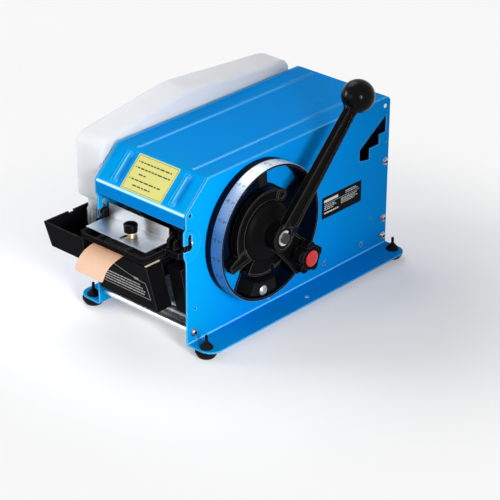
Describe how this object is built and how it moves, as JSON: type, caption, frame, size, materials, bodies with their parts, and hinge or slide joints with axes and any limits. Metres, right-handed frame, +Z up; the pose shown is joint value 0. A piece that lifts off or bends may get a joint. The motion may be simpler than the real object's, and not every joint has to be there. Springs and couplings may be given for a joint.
{
  "type": "gummed tape dispenser",
  "caption": "Hand lever dispenser that feeds, wets and cuts gummed paper tape; blue sheet body, length dial, brush tank and water bottle.",
  "frame": {"origin": "The point on the bench midway between the two side plates and midway along their length.", "axes": "+X across the machine towards the lever and dial, +Y along it towards the rear, so that the tape leaves towards -Y, +Z up."},
  "size_m": [0.3178, 0.5269, 0.3413],
  "materials": {
    "blue_enamel": "gloss",
    "black_enamel": "satin",
    "grey_steel": "satin",
    "zinc_steel": "satin",
    "bright_steel": "gloss",
    "hardened_steel": "satin",
    "brass": "satin",
    "rubber": "matte",
    "black_plastic": "satin",
    "knob_plastic": "gloss",
    "red_plastic": "gloss",
    "white_plastic": "satin",
    "bottle_plastic": "translucent satin",
    "kraft_paper": "matte",
    "core_board": "matte",
    "bristle": "matte"
  },
  "bodies": {
    "base": {"right_side_plate": "blue_enamel", "left_side_plate": "blue_enamel", "rear_panel": "blue_enamel", "base_pan": "grey_steel", "front_tie_rod": "bright_steel", "front_crossmember": "zinc_steel", "rubber_feet": "rubber", "cover_hinge_pins": "zinc_steel", "dial_drum": "black_enamel", "dial_scale_band": "white_plastic", "stop_bumpers": "rubber", "hub_sleeve": "hardened_steel", "shaft_bushes": "brass", "gear_plate": "zinc_steel", "gear_plate_spacers": "zinc_steel", "idler_axle": "hardened_steel", "pressure_arm_pivot": "hardened_steel", "tape_table": "zinc_steel", "blade_pivot": "hardened_steel", "fixed_blade": "hardened_steel", "tape_strip": "kraft_paper", "tape_end": "kraft_paper", "basket_axles": "zinc_steel", "water_tank": "black_plastic", "brush_holder": "black_plastic", "brush_bristles": "bristle", "front_guard": "black_plastic", "side_guard": "black_plastic", "bottle_bracket": "zinc_steel", "fastener_screws": "zinc_steel"},
    "lever": {"drive_shaft": "hardened_steel", "lever_arm": "black_enamel", "ball_knob": "knob_plastic", "shaft_circlip": "bright_steel", "main_gear": "hardened_steel"},
    "length_stop": {"stop_casting": "black_enamel"},
    "star_clamp": {"star_knob": "black_plastic", "star_knob_cap": "red_plastic"},
    "idler": {"idler_gear": "hardened_steel"},
    "feed": {"feed_shaft": "hardened_steel", "feed_wheel": "rubber", "feed_pinion": "hardened_steel"},
    "tape_roll": {"roll_core": "core_board", "paper_roll": "kraft_paper"},
    "front_roller": {"front_basket_roller": "white_plastic"},
    "rear_roller": {"rear_basket_roller": "white_plastic"},
    "pressure_arm": {"pressure_arm": "zinc_steel", "pressure_arm_spring": "bright_steel"},
    "pressure_roller": {"pressure_roller": "rubber"},
    "cutter": {"moving_blade": "hardened_steel"},
    "cover": {"top_cover": "blue_enamel"},
    "brush_cover": {"brush_cover_frame": "black_plastic", "tape_presser": "bright_steel"},
    "pressure_plate": {"pressure_plate": "bright_steel"},
    "thumb_knob": {"thumb_knob": "knob_plastic", "thumb_knob_collar": "brass"},
    "bottle": {"water_bottle": "bottle_plastic"},
    "bottle_cap": {"bottle_cap": "bottle_plastic"},
    "left_guide": {"left_tape_guide": "zinc_steel"},
    "right_guide": {"right_tape_guide": "zinc_steel"}
  },
  "joints": [
    {"name": "lever_pull", "type": "hinge", "parent": "base", "child": "lever", "pos_m": [0.147, -0.08, 0.15], "axis": [1, 0, 0], "range_deg": [0, 133]},
    {"name": "stop_setting", "type": "hinge", "parent": "base", "child": "length_stop", "pos_m": [0.11, -0.08, 0.15], "axis": [1, 0, 0], "range_deg": [-93, 0]},
    {"name": "clamp_knob_turn", "type": "hinge", "parent": "length_stop", "child": "star_clamp", "pos_m": [0.136, -0.02442, 0.09817], "axis": [1, 0, 0], "range_deg": [-180, 180]},
    {"name": "idler_turn", "type": "hinge", "parent": "base", "child": "idler", "pos_m": [0.05, -0.11857, 0.10404], "axis": [1, 0, 0], "range_deg": [-540, 0]},
    {"name": "feed_turn", "type": "hinge", "parent": "base", "child": "feed", "pos_m": [0, -0.15897, 0.1155], "axis": [1, 0, 0], "range_deg": [0, 1340]},
    {"name": "tape_roll_turn", "type": "hinge", "parent": "base", "child": "tape_roll", "pos_m": [-0.022, 0.118, 0.10941], "axis": [1, 0, 0], "range_deg": [0, 430]},
    {"name": "front_roller_turn", "type": "hinge", "parent": "base", "child": "front_roller", "pos_m": [-0.022, 0.075, 0.03], "axis": [1, 0, 0], "range_deg": [-3400, 0]},
    {"name": "rear_roller_turn", "type": "hinge", "parent": "base", "child": "rear_roller", "pos_m": [-0.022, 0.161, 0.03], "axis": [1, 0, 0], "range_deg": [-3400, 0]},
    {"name": "pressure_arm_lift", "type": "hinge", "parent": "base", "child": "pressure_arm", "pos_m": [0, -0.12197, 0.168], "axis": [-1, 0, 0], "range_deg": [0, 20], "stiffness_Nm_per_rad": 0.3, "springref_deg": -20.05},
    {"name": "pressure_roller_turn", "type": "hinge", "parent": "pressure_arm", "child": "pressure_roller", "pos_m": [-0.022, -0.15897, 0.154], "axis": [1, 0, 0], "range_deg": [-2840, 0]},
    {"name": "blade_cut", "type": "hinge", "parent": "base", "child": "cutter", "pos_m": [0.026, -0.1914, 0.1383], "axis": [0, -1, 0], "range_deg": [0, 16], "stiffness_Nm_per_rad": 0.2, "springref_deg": -28.65},
    {"name": "cover_open", "type": "hinge", "parent": "base", "child": "cover", "pos_m": [0, 0.207, 0.246], "axis": [-1, 0, 0], "range_deg": [0, 95]},
    {"name": "brush_cover_lift", "type": "hinge", "parent": "base", "child": "brush_cover", "pos_m": [0, -0.2095, 0.1625], "axis": [-1, 0, 0], "range_deg": [0, 40]},
    {"name": "pressure_plate_slide", "type": "slide", "parent": "brush_cover", "child": "pressure_plate", "axis": [0, 1, 0], "range_m": [-0.004, 0.005]},
    {"name": "thumb_knob_turn", "type": "hinge", "parent": "brush_cover", "child": "thumb_knob", "pos_m": [-0.0075, -0.231, 0.1603], "axis": [0, 0, 1], "range_deg": [-180, 180]},
    {"name": "bottle_lift", "type": "slide", "parent": "base", "child": "bottle", "axis": [0, 0, 1], "range_m": [0, 0.06]},
    {"name": "cap_turn", "type": "hinge", "parent": "bottle", "child": "bottle_cap", "pos_m": [-0.121, -0.19, 0.152], "axis": [0, 0, 1], "range_deg": [-180, 180]},
    {"name": "left_guide_slide", "type": "slide", "parent": "base", "child": "left_guide", "axis": [-1, 0, 0], "range_m": [0, 0.02]},
    {"name": "right_guide_slide", "type": "slide", "parent": "base", "child": "right_guide", "axis": [1, 0, 0], "range_m": [0, 0.055]}
  ],
  "couplings": [
    {"joint": "idler_turn", "follows": "lever_pull", "ratio": -4},
    {"joint": "feed_turn", "follows": "lever_pull", "ratio": 10},
    {"joint": "tape_roll_turn", "follows": "lever_pull", "ratio": 3.1875},
    {"joint": "front_roller_turn", "follows": "lever_pull", "ratio": -25.5},
    {"joint": "rear_roller_turn", "follows": "lever_pull", "ratio": -25.5},
    {"joint": "pressure_roller_turn", "follows": "lever_pull", "ratio": -21.25}
  ]
}
